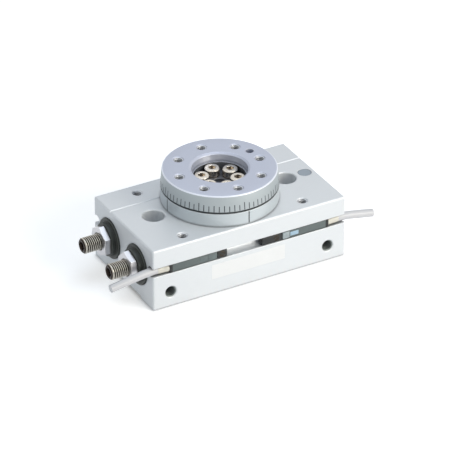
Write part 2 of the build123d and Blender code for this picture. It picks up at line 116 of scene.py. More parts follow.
def startGroup(name, inputs, outputs):
    group = bpy.data.node_groups.new(name, "ShaderNodeTree")
    for label, kind, value in inputs:
        socket = group.interface.new_socket(name=label, in_out="INPUT", socket_type="NodeSocket" + kind)
        socket.default_value = value
    for label, kind in outputs:
        group.interface.new_socket(name=label, in_out="OUTPUT", socket_type="NodeSocket" + kind)
    return group, group.nodes.new("NodeGroupInput"), group.nodes.new("NodeGroupOutput")


def objectPoint(tree):
    return addNode(tree, "ShaderNodeTexCoord").outputs["Object"]


def makeGrainGroup():
    group, entry, out = startGroup("fine grain", [
        ("Scale", "Float", 900.0), ("Stretch", "Vector", (1, 1, 1)), ("Amount", "Float", 0.06)],
        [("Shade", "Float"), ("Height", "Float")])
    point = addNode(group, "ShaderNodeMapping", {
        "Vector": objectPoint(group), "Scale": entry.outputs["Stretch"]})
    noise = addNode(group, "ShaderNodeTexNoise", {
        "Vector": point.outputs[0], "Scale": entry.outputs["Scale"], "Detail": 3.0, "Roughness": 0.6})
    swing = calc(group, "SUBTRACT", noise.outputs[0], 0.5)
    shade = calc(group, "MULTIPLY_ADD", swing, entry.outputs["Amount"], 1.0)
    group.links.new(shade, out.inputs["Shade"])
    group.links.new(noise.outputs[0], out.inputs["Height"])
    return group


def makeDriftGroup():
    group, entry, out = startGroup("tone drift", [
        ("Scale", "Float", 35.0), ("Amount", "Float", 0.08)], [("Shade", "Float")])
    noise = addNode(group, "ShaderNodeTexNoise", {
        "Vector": objectPoint(group), "Scale": entry.outputs["Scale"], "Detail": 2.0, "Roughness": 0.5})
    swing = calc(group, "SUBTRACT", noise.outputs[0], 0.5)
    group.links.new(calc(group, "MULTIPLY_ADD", swing, entry.outputs["Amount"], 1.0), out.inputs["Shade"])
    return group


# Painted highlight: a mask of the edges, where the bevelled normal bends away, broken up by spots; the
# bevelled normal itself goes out as Soft
def makeEdgeHighlightGroup():
    group, entry, out = startGroup("edge highlight", [
        ("Radius", "Float", 0.0004), ("Gain", "Float", 4.0), ("Spots", "Float", 700.0)],
        [("Mask", "Float"), ("Soft", "Vector")])
    soft = addNode(group, "ShaderNodeBevel", {"Radius": entry.outputs["Radius"]}, samples=6)
    flat = addNode(group, "ShaderNodeNewGeometry")
    match = vectorCalc(group, "DOT_PRODUCT", soft.outputs[0], flat.outputs["Normal"])
    bend = calc(group, "SUBTRACT", 1.0, match.outputs["Value"])
    spots = addNode(group, "ShaderNodeTexNoise", {
        "Vector": objectPoint(group), "Scale": entry.outputs["Spots"], "Detail": 2.0})
    broken = calc(group, "MULTIPLY", calc(group, "MULTIPLY", bend, entry.outputs["Gain"]), spots.outputs[0])
    group.links.new(calc(group, "MINIMUM", broken, 1.0), out.inputs["Mask"])
    group.links.new(soft.outputs[0], out.inputs["Soft"])
    return group


# Painted shade: a mask of how hidden a point is from the open, by ambient occlusion, for darkening holes,
# sockets, corners and gaps
def makeCreviceShadeGroup():
    group, entry, out = startGroup("creviceShade", [
        ("Reach", "Float", 0.001), ("Power", "Float", 1.5)], [("Mask", "Float")])
    shade = addNode(group, "ShaderNodeAmbientOcclusion", {"Distance": entry.outputs["Reach"]}, samples=8)
    clear = calc(group, "POWER", shade.outputs["AO"], entry.outputs["Power"])
    group.links.new(calc(group, "SUBTRACT", 1.0, clear), out.inputs["Mask"])
    return group


def makeBandGroup():
    group, entry, out = startGroup("band", [
        ("Centre", "Vector", (0, 0, 0)), ("Half", "Vector", (1, 1, 1))], [("Mask", "Float")])
    moved = vectorCalc(group, "SUBTRACT", objectPoint(group), entry.outputs["Centre"])
    far = vectorCalc(group, "ABSOLUTE", moved.outputs[0])
    room = vectorCalc(group, "SUBTRACT", entry.outputs["Half"], far.outputs[0])
    sides = addNode(group, "ShaderNodeSeparateXYZ", {"Vector": room.outputs[0]})
    least = calc(group, "MINIMUM", sides.outputs[0], sides.outputs[1])
    least = calc(group, "MINIMUM", least, sides.outputs[2])
    group.links.new(calc(group, "GREATER_THAN", least, 0.0), out.inputs["Mask"])
    return group


# Painted shade in thread roots: a mask from crest radius to root radius about the bolt axes
def makeRootShadeGroup():
    group, entry, out = startGroup("thread depth", [
        ("Centre", "Vector", (0, 0, 0)), ("Crest", "Float", 0.003), ("Root", "Float", 0.0025)],
        [("Mask", "Float")])
    folded = vectorCalc(group, "ABSOLUTE", objectPoint(group))  # both threads at once, as they mirror in Y
    moved = vectorCalc(group, "SUBTRACT", folded.outputs[0], entry.outputs["Centre"])
    across = vectorCalc(group, "MULTIPLY", moved.outputs[0], (0, 1, 1))
    radius = vectorCalc(group, "LENGTH", across.outputs[0])
    share = addNode(group, "ShaderNodeMapRange", {
        "Value": radius.outputs["Value"], "From Min": entry.outputs["Crest"],
        "From Max": entry.outputs["Root"]})
    group.links.new(share.outputs[0], out.inputs["Mask"])
    return group


def makeTurnedGroup():
    group, entry, out = startGroup("turning marks", [
        ("Centre", "Vector", (0, 0, 0)), ("Across", "Vector", (1, 1, 0)), ("Pitch", "Float", 0.00025),
        ("Amount", "Float", 0.08)], [("Shade", "Float"), ("Height", "Float")])
    moved = vectorCalc(group, "SUBTRACT", objectPoint(group), entry.outputs["Centre"])
    flat = vectorCalc(group, "MULTIPLY", moved.outputs[0], entry.outputs["Across"])
    radius = vectorCalc(group, "LENGTH", flat.outputs[0])
    steps = calc(group, "DIVIDE", radius.outputs["Value"], entry.outputs["Pitch"])
    noise = addNode(group, "ShaderNodeTexNoise", {"W": steps, "Scale": 1.0, "Detail": 2.0},
                    noise_dimensions="1D")
    swing = calc(group, "SUBTRACT", noise.outputs[0], 0.5)
    group.links.new(calc(group, "MULTIPLY_ADD", swing, entry.outputs["Amount"], 1.0), out.inputs["Shade"])
    group.links.new(noise.outputs[0], out.inputs["Height"])
    return group


groups = {
    "grain": makeGrainGroup(),
    "drift": makeDriftGroup(),
    "edge": makeEdgeHighlightGroup(),
    "creviceShade": makeCreviceShadeGroup(),
    "band": makeBandGroup(),
    "depth": makeRootShadeGroup(),
    "turned": makeTurnedGroup(),
}


def useGroup(tree, name, **values):
    made = tree.nodes.new("ShaderNodeGroup")
    made.node_tree = groups[name]
    for label, value in values.items():
        made.inputs[label].default_value = value
    return made


def startMaterial(name):
    material = bpy.data.materials.new(name)
    material.use_nodes = True
    tree = material.node_tree
    return material, tree, tree.nodes["Principled BSDF"]


def shaded(tree, colour, shades, layers):
    tone = shades[0]
    for other in shades[1:]:
        tone = calc(tree, "MULTIPLY", tone, other)
    scaled = addNode(tree, "ShaderNodeVectorMath", {"Scale": tone}, operation="SCALE")
    scaled.inputs[0].default_value = colour[:3]
    result = scaled.outputs[0]
    for mask, other in layers:
        mix = addNode(tree, "ShaderNodeMix", data_type="RGBA")
        tree.links.new(mask, mix.inputs["Factor"])
        tree.links.new(result, mix.inputs["A"])
        mix.inputs["B"].default_value = other
        result = mix.outputs["Result"]
    return result


def linear(red, green, blue):
    parts = []
    for value in (red, green, blue):
        share = value / 255
        parts.append(share / 12.92 if share <= 0.04045 else ((share + 0.055) / 1.055) ** 2.4)
    return (*parts, 1)


# What a finish has unless its own row says otherwise; reaches and radii are in millimetres
plainFinish = {
    "metal": 0.0, "rough": 0.45, "roughSwing": 0.12, "grainScale": 1400.0, "grainAmount": 0.12,
    "stretch": (1, 1, 1), "bump": 0.15, "driftScale": 120.0, "driftAmount": 0.12,
    "edgeRadius": 0.15, "edgeHighlightGain": 2.0, "creviceShadeReach": 0.9, "creviceShadePower": 1.4, "bumpDepth": 0.03,
}

# Bands of painted light: a painted highlight along the line on the top, painted shade in the base channel
# and on the table's well floor; each a box in metres on the piece, and how much of the tone shows
paintedLightBands = {
    # Painted highlight along the line on the body's top
    "topLineHighlight": {
        "centre": (0, 0.0098, 0.0239), "half": (0.05, 0.0004, 0.0005), "share": 0.85,
        "colour": (250, 252, 254)},
    # Painted shade in the channel under the body
    "baseChannelShade": {
        "centre": (0, 0, 0.0003), "half": (0.05, 0.0126, 0.001), "share": 0.92, "colour": (30, 25, 22)},
    # Painted shade in the table's deep well
    "wellFloorShade": {
        "centre": (0, 0, 0.0307), "half": (0.0096, 0.0096, 0.00195), "share": 0.75, "colour": (58, 56, 52)},
}

# One row per finish: colour, edge tone for the painted highlight on edges, the painted shade of its holes
# and corners, and what differs from plain
finishes = {
    "bodyAluminium": {
        "colour": (212, 215, 218), "edge": (252, 253, 254), "creviceShade": (160, 163, 168), "metal": 0.3,
        "rough": 0.46, "grainScale": 1600.0, "grainAmount": 0.05, "stretch": (0.25, 1, 1), "bump": 0.2,
        "driftScale": 30.0, "driftAmount": 0.04, "edgeRadius": 0.4, "edgeHighlightGain": 4.0,
        "paintedBands": ["topLineHighlight", "baseChannelShade"]},
    "collarAluminium": {
        "colour": (190, 197, 201), "edge": (246, 249, 251), "creviceShade": (40, 38, 38), "metal": 0.35,
        "rough": 0.4, "grainAmount": 0.05, "stretch": (1, 1, 3), "driftScale": 40.0,
        "driftAmount": 0.05, "edgeRadius": 0.3, "edgeHighlightGain": 3.0,
        "turned": {"Across": (1, 1, 0), "Pitch": 0.00018, "Amount": 0.06}},
    "tableAluminium": {
        "colour": (184, 189, 204), "edge": (240, 243, 248), "creviceShade": (62, 58, 54), "metal": 0.45,
        "rough": 0.42, "grainScale": 1500.0, "grainAmount": 0.06, "driftScale": 45.0,
        "driftAmount": 0.05, "edgeRadius": 0.35, "edgeHighlightGain": 4.0,
        "turned": {"Across": (1, 1, 0), "Pitch": 0.00022, "Amount": 0.06}, "paintedBands": ["wellFloorShade"]},
    # A lighter copy of the table's aluminium for the rounded rim: painted highlight
    "tableRimHighlight": {
        "colour": (222, 226, 236), "edge": (246, 248, 252), "metal": 0.4, "rough": 0.36,
        "grainScale": 1500.0, "grainAmount": 0.05, "driftScale": 45.0, "driftAmount": 0.05},
    # tableWall: a darker copy of the table's aluminium for its side wall, painted shade
    "tableWall": {
        "colour": (166, 173, 176), "edge": (222, 228, 236), "creviceShade": (36, 34, 34), "metal": 0.45,
        "rough": 0.42, "grainScale": 1500.0, "grainAmount": 0.06, "stretch": (1, 1, 4),
        "driftScale": 45.0, "driftAmount": 0.05, "edgeRadius": 0.3, "edgeHighlightGain": 3.0},
    "engraved": {
        "colour": (42, 48, 54), "edge": (78, 84, 90), "rough": 0.6, "grainAmount": 0.3,
        "driftAmount": 0.2},
    "labelPlate": {
        "colour": (223, 224, 225), "edge": (240, 241, 242), "creviceShade": (150, 152, 156), "rough": 0.5,
        "grainAmount": 0.04, "driftAmount": 0.03, "creviceShadeReach": 0.3},
    "blackMetal": {
        "colour": (50, 54, 50), "edge": (118, 122, 118), "creviceShade": (16, 16, 16), "metal": 0.2,
        "grainAmount": 0.25, "bump": 0.2, "driftScale": 90.0, "driftAmount": 0.2, "edgeRadius": 0.25},
    "nickelSteel": {
        "colour": (204, 203, 206), "edge": (252, 250, 246), "creviceShade": (64, 54, 42), "metal": 0.9,
        "rough": 0.3, "grainScale": 1100.0, "grainAmount": 0.12, "driftAmount": 0.15, "edgeRadius": 0.2,
        "edgeHighlightGain": 3.0},
    "threadSteel": {
        "colour": (206, 202, 192), "edge": (255, 254, 250), "creviceShade": (34, 28, 22), "metal": 0.85,
        "rough": 0.3, "grainScale": 1100.0, "grainAmount": 0.12, "driftAmount": 0.15,
        "edgeRadius": 0.08, "creviceShadeReach": 2.5, "creviceShadePower": 0.8,
        # depth: painted shade in the thread roots
        "depth": {"centre": (0, 0.010, 0.013), "crest": 0.00290, "root": 0.00262, "colour": (44, 35, 30)}},
    "holeThread": {
        "colour": (220, 223, 228), "edge": (252, 252, 253), "creviceShade": (16, 16, 18), "metal": 0.35,
        "rough": 0.34, "grainAmount": 0.06, "edgeRadius": 0.05, "creviceShadeReach": 0.7,
        "creviceShadePower": 3.0},
    # Threads of the aluminium ports in a much darker tone: painted shade inside the holes
    "portThread": {
        "colour": (120, 128, 126), "edge": (206, 212, 210), "creviceShade": (8, 12, 12), "metal": 0.35,
        "rough": 0.34, "grainAmount": 0.3, "edgeRadius": 0.05, "creviceShadeReach": 0.8,
        "creviceShadePower": 3.0},
    "screwSteel": {
        "colour": (214, 208, 198), "edge": (250, 246, 238), "creviceShade": (70, 46, 24), "metal": 1.0,
        "rough": 0.26, "grainScale": 1300.0, "driftScale": 150.0, "edgeRadius": 0.2, "edgeHighlightGain": 2.5,
        "creviceShadePower": 2.0},
    "plugSteel": {
        "colour": (146, 156, 166), "edge": (206, 214, 222), "creviceShade": (70, 72, 76), "metal": 0.6,
        "rough": 0.42, "grainAmount": 0.1, "edgeRadius": 0.15},
    "bearingSteel": {
        "colour": (178, 180, 184), "edge": (225, 226, 230), "metal": 1.0, "rough": 0.18,
        "roughSwing": 0.08, "grainAmount": 0.06, "stretch": (1, 1, 4), "bump": 0.06,
        "driftAmount": 0.06},
    "pistonSteel": {
        "colour": (150, 152, 156), "edge": (205, 207, 210), "metal": 1.0, "rough": 0.32,
        "grainScale": 1000.0, "stretch": (0.3, 1, 1), "bump": 0.1, "driftScale": 80.0},
    "sealRubber": {
        "colour": (34, 34, 36), "edge": (70, 70, 72), "rough": 0.62, "roughSwing": 0.2,
        "grainAmount": 0.3, "bump": 0.3, "driftScale": 90.0, "driftAmount": 0.2},
    "padRubber": {
        "colour": (120, 62, 44), "edge": (160, 96, 74), "rough": 0.6, "roughSwing": 0.2,
        "grainAmount": 0.25, "bump": 0.3, "driftAmount": 0.2},
    "wearPlastic": {
        "colour": (214, 206, 186), "edge": (235, 230, 214), "rough": 0.5, "roughSwing": 0.15},
    "cagePlastic": {
        "colour": (150, 118, 72), "edge": (190, 160, 112), "roughSwing": 0.15, "grainAmount": 0.15},
    "magnet": {
        "colour": (70, 70, 74), "edge": (120, 120, 124), "metal": 0.6, "rough": 0.5,
        "grainAmount": 0.2},
    "sensorPlastic": {
        "colour": (86, 95, 95), "edge": (150, 158, 158), "creviceShade": (22, 22, 22), "rough": 0.5,
        "grainScale": 1500.0, "grainAmount": 0.2, "stretch": (0.5, 1, 1), "bump": 0.2,
        "driftScale": 150.0, "driftAmount": 0.2, "edgeRadius": 0.2, "creviceShadeReach": 0.5},
    "sensorBlack": {
        "colour": (22, 23, 23), "edge": (92, 96, 98), "creviceShade": (8, 8, 8), "rough": 0.42,
        "grainAmount": 0.25, "edgeRadius": 0.25, "bump": 0.2},
    "sensorPatch": {
        "colour": (150, 160, 164), "edge": (196, 204, 210), "creviceShade": (70, 74, 78), "rough": 0.4,
        "grainAmount": 0.35, "driftScale": 900.0, "driftAmount": 0.5, "edgeRadius": 0.2},
    "sensorGrey": {
        "colour": (92, 102, 103), "edge": (136, 146, 148), "creviceShade": (44, 48, 50), "rough": 0.4,
        "grainAmount": 0.3, "driftScale": 900.0, "driftAmount": 0.4, "edgeRadius": 0.2},
    "lensPlastic": {
        "colour": (152, 178, 196), "edge": (206, 220, 230), "creviceShade": (70, 90, 104), "rough": 0.2,
        "roughSwing": 0.08, "grainScale": 900.0, "grainAmount": 0.08, "bump": 0.08, "driftScale": 400.0,
        "driftAmount": 0.2},
    "leadPlastic": {
        "colour": (193, 193, 196), "edge": (236, 237, 240), "creviceShade": (120, 112, 104), "rough": 0.32,
        "grainScale": 700.0, "grainAmount": 0.05, "stretch": (0.3, 1, 1), "bump": 0.08,
        "driftScale": 160.0, "driftAmount": 0.06, "edgeRadius": 0.2},
    "leadRoot": {
        "colour": (206, 203, 192), "edge": (232, 230, 222), "creviceShade": (110, 102, 90), "rough": 0.38,
        "grainAmount": 0.08, "edgeRadius": 0.2},
    "screwBrown": {
        "colour": (56, 50, 42), "edge": (120, 108, 90), "creviceShade": (12, 9, 7), "metal": 0.7,
        "rough": 0.38, "grainAmount": 0.15, "driftScale": 300.0, "driftAmount": 0.2,
        "creviceShadeReach": 0.5},
}


def makeFinish(name, row):
    material, tree, shader = startMaterial(name)
    grain = useGroup(tree, "grain", Scale=row["grainScale"], Stretch=row["stretch"],
                     Amount=row["grainAmount"])
    drift = useGroup(tree, "drift", Scale=row["driftScale"], Amount=row["driftAmount"])
    edge = useGroup(tree, "edge", Radius=row["edgeRadius"] * mm, Gain=row["edgeHighlightGain"])
    shades = [grain.outputs["Shade"], drift.outputs["Shade"]]
    height = grain.outputs["Height"]
    if "turned" in row:
        turned = useGroup(tree, "turned", **row["turned"])
        shades.append(turned.outputs["Shade"])
        height = calc(tree, "ADD", height, turned.outputs["Height"])
    # Painted highlight: the edge tone over the edges
    layers = [(edge.outputs["Mask"], linear(*row["edge"]))]
    # Bands of painted highlight and painted shade
    for label in row.get("paintedBands", []):
        band = paintedLightBands[label]
        mask = useGroup(tree, "band", Centre=band["centre"], Half=band["half"]).outputs["Mask"]
        layers.append((calc(tree, "MULTIPLY", mask, band["share"]), linear(*band["colour"])))
    # Painted shade in the thread roots
    if "depth" in row:
        depth = useGroup(tree, "depth", Centre=row["depth"]["centre"], Crest=row["depth"]["crest"],
                         Root=row["depth"]["root"])
        layers.append((depth.outputs["Mask"], linear(*row["depth"]["colour"])))
    # Painted shade in holes, corners and gaps
    if "creviceShade" in row:
        creviceShade = useGroup(tree, "creviceShade", Reach=row["creviceShadeReach"] * mm, Power=row["creviceShadePower"])
        layers.append((creviceShade.outputs["Mask"], linear(*row["creviceShade"])))
    tree.links.new(shaded(tree, linear(*row["colour"]), shades, layers), shader.inputs["Base Color"])
    shader.inputs["Metallic"].default_value = row["metal"]
    swing = calc(tree, "SUBTRACT", grain.outputs["Height"], 0.5)
    rough = calc(tree, "MULTIPLY_ADD", swing, row["roughSwing"], row["rough"])
    tree.links.new(rough, shader.inputs["Roughness"])
    bump = addNode(tree, "ShaderNodeBump", {
        "Strength": row["bump"], "Distance": row["bumpDepth"] * mm, "Height": height,
        "Normal": edge.outputs["Soft"]})
    tree.links.new(bump.outputs[0], shader.inputs["Normal"])
    return material


say("finishes")
materials = {name: makeFinish(name, {**plainFinish, **row}) for name, row in finishes.items()}

# Which finish each construction node wears
dressing = {
    "bodyAluminium": ["body"],
    "collarAluminium": ["bearing_retainer"],
    "tableAluminium": ["table"],
    "blackMetal": ["end_cap", "snap_ring", "bore_plug"],
    "nickelSteel": ["lock_nut"],
    "threadSteel": ["adjusting_bolt"],
    "plugSteel": ["passage_plug"],
    "screwSteel": ["table_screws", "retainer_screws"],
    "bearingSteel": ["outer_ring", "inner_ring", "bearing_balls", "pinion_shaft"],
    "pistonSteel": ["rack_piston"],
    "sealRubber": ["piston_seals", "cap_seal", "plug_seal"],
    "padRubber": ["cushion_pad"],
    "wearPlastic": ["wear_rings"],
    "cagePlastic": ["bearing_cage"],
    "magnet": ["piston_magnets"],
    "sensorPlastic": ["left_sensor", "right_sensor"],
    "lensPlastic": ["sensor_lens"],
    "leadPlastic": ["sensor_lead"],
    "screwBrown": ["sensor_screw"],
}


def finishOf(name):
    best = ""
    chosen = None
    for finish, endings in dressing.items():
        for ending in endings:
            if name.endswith(ending) and len(ending) > len(best):
                best, chosen = ending, finish
    return materials[chosen]


for name, piece in nodes.items():
    piece.data.materials.clear()
    piece.data.materials.append(finishOf(name))
say("construction nodes dressed")


# Pieces are shaped in millimetres and scaled at the end
def boxOf(name):
    low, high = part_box(name)
    return low / mm, high / mm


def spun(points, steps, closed=True):
    bm = bmesh.new()
    verts = [bm.verts.new((radius, 0, along)) for radius, along in points]
    edges = [bm.edges.new(pair) for pair in zip(verts, verts[1:])]
    if closed:
        edges.append(bm.edges.new((verts[-1], verts[0])))
    bmesh.ops.spin(bm, geom=verts + edges, cent=(0, 0, 0), axis=(0, 0, 1), angle=2 * math.pi, steps=steps,
                   use_merge=True)
    bmesh.ops.remove_doubles(bm, verts=bm.verts, dist=near["spun"])
    bmesh.ops.recalc_face_normals(bm, faces=bm.faces)
    return bm


def copyOf(name):
    bm = bmesh.new()
    bm.from_mesh(nodes[name].data)
    bmesh.ops.scale(bm, vec=(1 / mm, 1 / mm, 1 / mm), verts=bm.verts)
    bmesh.ops.remove_doubles(bm, verts=bm.verts, dist=near["copied"])
    return bm


def cuboid(low, high, edge, segments=2):
    bm = bmesh.new()
    bmesh.ops.create_cube(bm, size=1)
    size = [b - a for a, b in zip(low, high)]
    middle = [(a + b) / 2 for a, b in zip(low, high)]
    bmesh.ops.scale(bm, vec=size, verts=bm.verts)
    bmesh.ops.translate(bm, vec=middle, verts=bm.verts)
    bmesh.ops.bevel(bm, geom=bm.edges, offset=edge, segments=segments, affect="EDGES", profile=0.5,
                    material=-1)
    return bm


def addShape(target, shape, place=None):
    if place is not None:
        bmesh.ops.transform(shape, matrix=place, verts=shape.verts)
    carrier = bpy.data.meshes.new("carrier")
    shape.to_mesh(carrier)
    shape.free()
    target.from_mesh(carrier)
    bpy.data.meshes.remove(carrier)


# Scales a shape to metres and makes it a piece; sharp is the angle from which an edge stays hard
def finishPiece(name, bm, finish, body, replaced=(), sharp=35):
    bmesh.ops.scale(bm, vec=(mm, mm, mm), verts=bm.verts)
    mesh = bpy.data.meshes.new(name)
    bm.to_mesh(mesh)
    bm.free()
    if "custom_normal" in mesh.attributes:
        mesh.attributes.remove(mesh.attributes["custom_normal"])
    for label in [finish] if isinstance(finish, str) else finish:
        mesh.materials.append(materials[label])
    mesh.shade_smooth()
    mesh.set_sharp_from_angle(angle=math.radians(sharp))
    piece = bpy.data.objects.new(name, mesh)
    bpy.context.scene.collection.objects.link(piece)
    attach(piece, body)
    if replaced:
        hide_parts(*replaced)
    return piece


def radiusOf(vert):
    return math.hypot(vert.co.x, vert.co.y)


def turnOf(vert):
    return math.atan2(vert.co.y, vert.co.x)


def pick(parts, kind):
    return [part for part in parts if isinstance(part, kind)]


def hexRadius(flats, angle):
    sixth = math.pi / 3
    return flats / 2 / math.cos((angle + sixth / 2) % sixth - sixth / 2)


def setRadius(vert, radius):
    angle = turnOf(vert)
    vert.co.x, vert.co.y = radius * math.cos(angle), radius * math.sin(angle)


def alongX(x, y, z, turn=0.0):
    toMinusX = Matrix.Rotation(-math.pi / 2, 4, "Y") @ Matrix.Rotation(math.radians(turn), 4, "Z")
    return Matrix.Translation((x, y, z)) @ toMinusX


# A right-hand thread pressed into the rows of a spun wall; flat is the share of a turn at crest and root
def cutThread(bm, wall, pitch, crest, root, low, high, flat=0.13):
    for vert in bm.verts:
        if abs(radiusOf(vert) - wall) > near["test"] or not low <= vert.co.z <= high:
            continue
        phase = (vert.co.z / pitch - turnOf(vert) / (2 * math.pi)) % 1
        share = (abs(phase - 0.5) * 2 - flat) / (1 - 2 * flat)
        setRadius(vert, root + (crest - root) * min(max(share, 0), 1))


# Adjusting bolts: hexagon socket, chamfered tip and a fine thread down to the cushion pad
bolt = {
    "radius": 2.95, "pitch": 0.75, "depth": 0.42, "tipRadius": 2.35, "tipEdge": 0.6,
    "socketFlats": 3.0, "socketDepth": 3.0, "socketPoint": 0.6, "socketEdge": 0.18,
    "padRadius": 1.92, "plainEnd": 0.1, "rowsPerTurn": 9, "columns": 60,
}


def makeBolt(name):
    low, high = boxOf(name + "_adjusting_bolt")
    padLow = boxOf(name + "_cushion_pad")[0]
    length = high.x - low.x
    recess = high.x - padLow.x
    socket = bolt["socketFlats"] / 2
    rows = round((length - bolt["tipEdge"]) / bolt["pitch"] * bolt["rowsPerTurn"])
    step = (length - bolt["tipEdge"]) / rows
    points = [(0, -bolt["socketDepth"] - bolt["socketPoint"]), (socket, -bolt["socketDepth"]),
              (socket, -bolt["socketEdge"]), (socket + bolt["socketEdge"], 0), (bolt["tipRadius"], 0)]
    points += [(bolt["radius"], -bolt["tipEdge"] - step * row) for row in range(rows + 1)]
    points += [(bolt["padRadius"], -length), (bolt["padRadius"], recess - length), (0, recess - length)]
    bm = spun(points, bolt["columns"], closed=False)
    cutThread(bm, bolt["radius"], bolt["pitch"], bolt["radius"], bolt["radius"] - bolt["depth"],
              -length + bolt["plainEnd"], -bolt["tipEdge"] - step)
    for vert in bm.verts:
        inSocket = 0 < radiusOf(vert) < bolt["tipRadius"] - near["test"]
        if inSocket and vert.co.z > -bolt["socketDepth"] - near["test"]:
            setRadius(vert, hexRadius(2 * radiusOf(vert), turnOf(vert)))
    middle = (low + high) / 2
    bmesh.ops.transform(bm, matrix=alongX(low.x, middle.y, middle.z), verts=bm.verts)
    finishPiece(name + "AdjustingBolt", bm, "threadSteel", name + "_bolt",
                [name + "_adjusting_bolt"], sharp=50)


# Lock nuts and the raised boss of each cap, which the photograph shows further out than the solids
nut = {
    "flats": 10.0, "thickness": 2.4, "seat": -40.8, "bore": 2.97, "boreEdge": 0.35, "faceShare": 0.99,
    "slope": 18.0, "overhang": 1.0, "columns": 72, "turns": {"front": -15.0, "rear": 28.0},
}
boss = {"radius": 6.1, "start": -39.1, "end": -40.8, "edge": 0.25, "bore": 3.0, "columns": 64}


def makeNut(name):
    low, high = boxOf(name + "_lock_nut")
    middle = (low + high) / 2
    face = nut["flats"] / 2 * nut["faceShare"]
    corner = nut["flats"] / 2 + nut["overhang"]
    bore, top, edge = nut["bore"], nut["thickness"], nut["boreEdge"]
    bm = spun([(bore + edge, 0), (bore, edge), (bore, top - edge), (bore + edge, top),
               (face, top), (corner, top), (corner, 0), (face, 0)], nut["columns"])
    slope = math.tan(math.radians(nut["slope"]))
    for vert in bm.verts:
        if radiusOf(vert) < corner - near["test"]:
            continue
        radius = hexRadius(nut["flats"], turnOf(vert))
        setRadius(vert, radius)
        drop = (radius - face) * slope
        vert.co.z += -drop if vert.co.z > top / 2 else drop
    place = alongX(nut["seat"], middle.y, middle.z, nut["turns"][name])
    bmesh.ops.transform(bm, matrix=place, verts=bm.verts)
    finishPiece(name + "LockNut", bm, "nickelSteel", "housing", [name + "_lock_nut"],
                sharp=25)


def makeBoss(name):
    low, high = boxOf(name + "_end_cap")
    middle = (low + high) / 2
    length = boss["start"] - boss["end"]
    edge = boss["edge"]
    points = [(boss["bore"], 0), (boss["bore"], length), (boss["radius"] - edge, length)]
    points += [(boss["radius"] - edge * (1 - math.sin(turn)), length - edge * (1 - math.cos(turn)))
               for turn in (math.pi / 6, math.pi / 3, math.pi / 2)]
    points += [(boss["radius"], edge), (boss["radius"] + edge, 0)]
    bm = spun(points, boss["columns"])
    bmesh.ops.transform(bm, matrix=alongX(boss["start"], middle.y, middle.z), verts=bm.verts)
    finishPiece(name + "CapBoss", bm, "blackMetal", "housing")


for name in ("front", "rear"):
    makeBolt(name)
    makeNut(name)
    makeBoss(name)
say("adjusting bolts, nuts and caps")

# Table: the construction node with one tapered wall and a rounded rim, its marks and its threads
tableWall = {
    "base": 29.6, "lift": 0.15, "foot": 21.0, "brow": 20.4, "inner": 19.95, "footRise": 0.2,
    "rim": [(20.2, 0.04), (20.36, 0.18), (20.43, 0.42)], "sharp": 28,
}
pilotMouth = {"inner": 9.98, "outer": 10.8, "height": 1.0, "radius": 10.75, "drop": 0.2}


def wallRadius(top, height):
    slope = (tableWall["foot"] - tableWall["brow"]) / (top - tableWall["base"])
    return tableWall["brow"] + slope * (top - height)


def onTableWall(face, top):
    heights = [vert.co.z for vert in face.verts]
    if min(radiusOf(vert) for vert in face.verts) < tableWall["inner"]:
        return False
    return min(heights) < top - near["test"] and max(heights) > tableWall["base"] + near["test"]


def makeTable():
    top = boxOf("table")[1].z
    bm = copyOf("table")
    bmesh.ops.delete(bm, geom=[face for face in bm.faces if onTableWall(face, top)], context="FACES")
    middle = (top + tableWall["base"]) / 2
    loose = [edge for edge in bm.edges if edge.is_boundary]
    edges = [edge for edge in loose if edge.verts[0].co.z > middle]
    foot = [edge for edge in loose if edge.verts[0].co.z <= middle]
    rows = [(radius, top - drop) for radius, drop in tableWall["rim"]]
    rimFoot = rows[-1][1]
    lowest = tableWall["base"] + tableWall["lift"] + tableWall["footRise"]
    for height in ((rimFoot + lowest) / 2, lowest):
        rows.append((wallRadius(top, height), height))
    old = set(bm.faces)
    rim = []
    for radius, height in rows:
        made = bmesh.ops.extrude_edge_only(bm, edges=edges)["geom"]
        for vert in pick(made, bmesh.types.BMVert):
            setRadius(vert, radius)
            vert.co.z = height
        edges = [edge for edge in pick(made, bmesh.types.BMEdge) if edge.is_boundary]
        if height >= rimFoot:
            rim += pick(made, bmesh.types.BMFace)
    bmesh.ops.bridge_loops(bm, edges=edges + foot)
    for vert in bm.verts:
        if abs(vert.co.z - tableWall["base"]) < near["test"]:
            vert.co.z += tableWall["lift"]
        if pilotMouth["inner"] < radiusOf(vert) < pilotMouth["outer"]:
            if vert.co.z > top - near["test"]:
                setRadius(vert, pilotMouth["radius"])
            elif vert.co.z > top - pilotMouth["height"]:
                vert.co.z -= pilotMouth["drop"]
    bmesh.ops.recalc_face_normals(bm, faces=bm.faces)
    # The wall's faces wear the darker copy of the table's aluminium, painted shade
    for face in bm.faces:
        if face not in old:
            face.material_index = 1
    # The rim's faces wear the lighter copy, a painted highlight
    for face in rim:
        face.material_index = 2
    finishPiece("turnTable", bm, ["tableAluminium", "tableWall", "tableRimHighlight"], "table_assembly",
                ["table"], sharp=tableWall["sharp"])


# Collar: the construction node with its top face a little lower and a finer edge, so the gap shows dark
collar = {"topDrop": 0.16, "oldEdge": 0.32, "newEdge": 0.12, "topBand": 0.01, "sharp": 28}


def makeCollar():
    high = boxOf("bearing_retainer")[1]
    bm = copyOf("bearing_retainer")
    for vert in bm.verts:
        if vert.co.z > high.z - collar["topBand"]:
            vert.co.z -= collar["topDrop"]
            if radiusOf(vert) > high.x - collar["oldEdge"]:
                setRadius(vert, high.x - collar["newEdge"])
    bmesh.ops.recalc_face_normals(bm, faces=bm.faces)
    finishPiece("bearingCollar", bm, "collarAluminium", "housing",
                ["bearing_retainer"], sharp=collar["sharp"])


makeTable()
makeCollar()
say("table and collar")

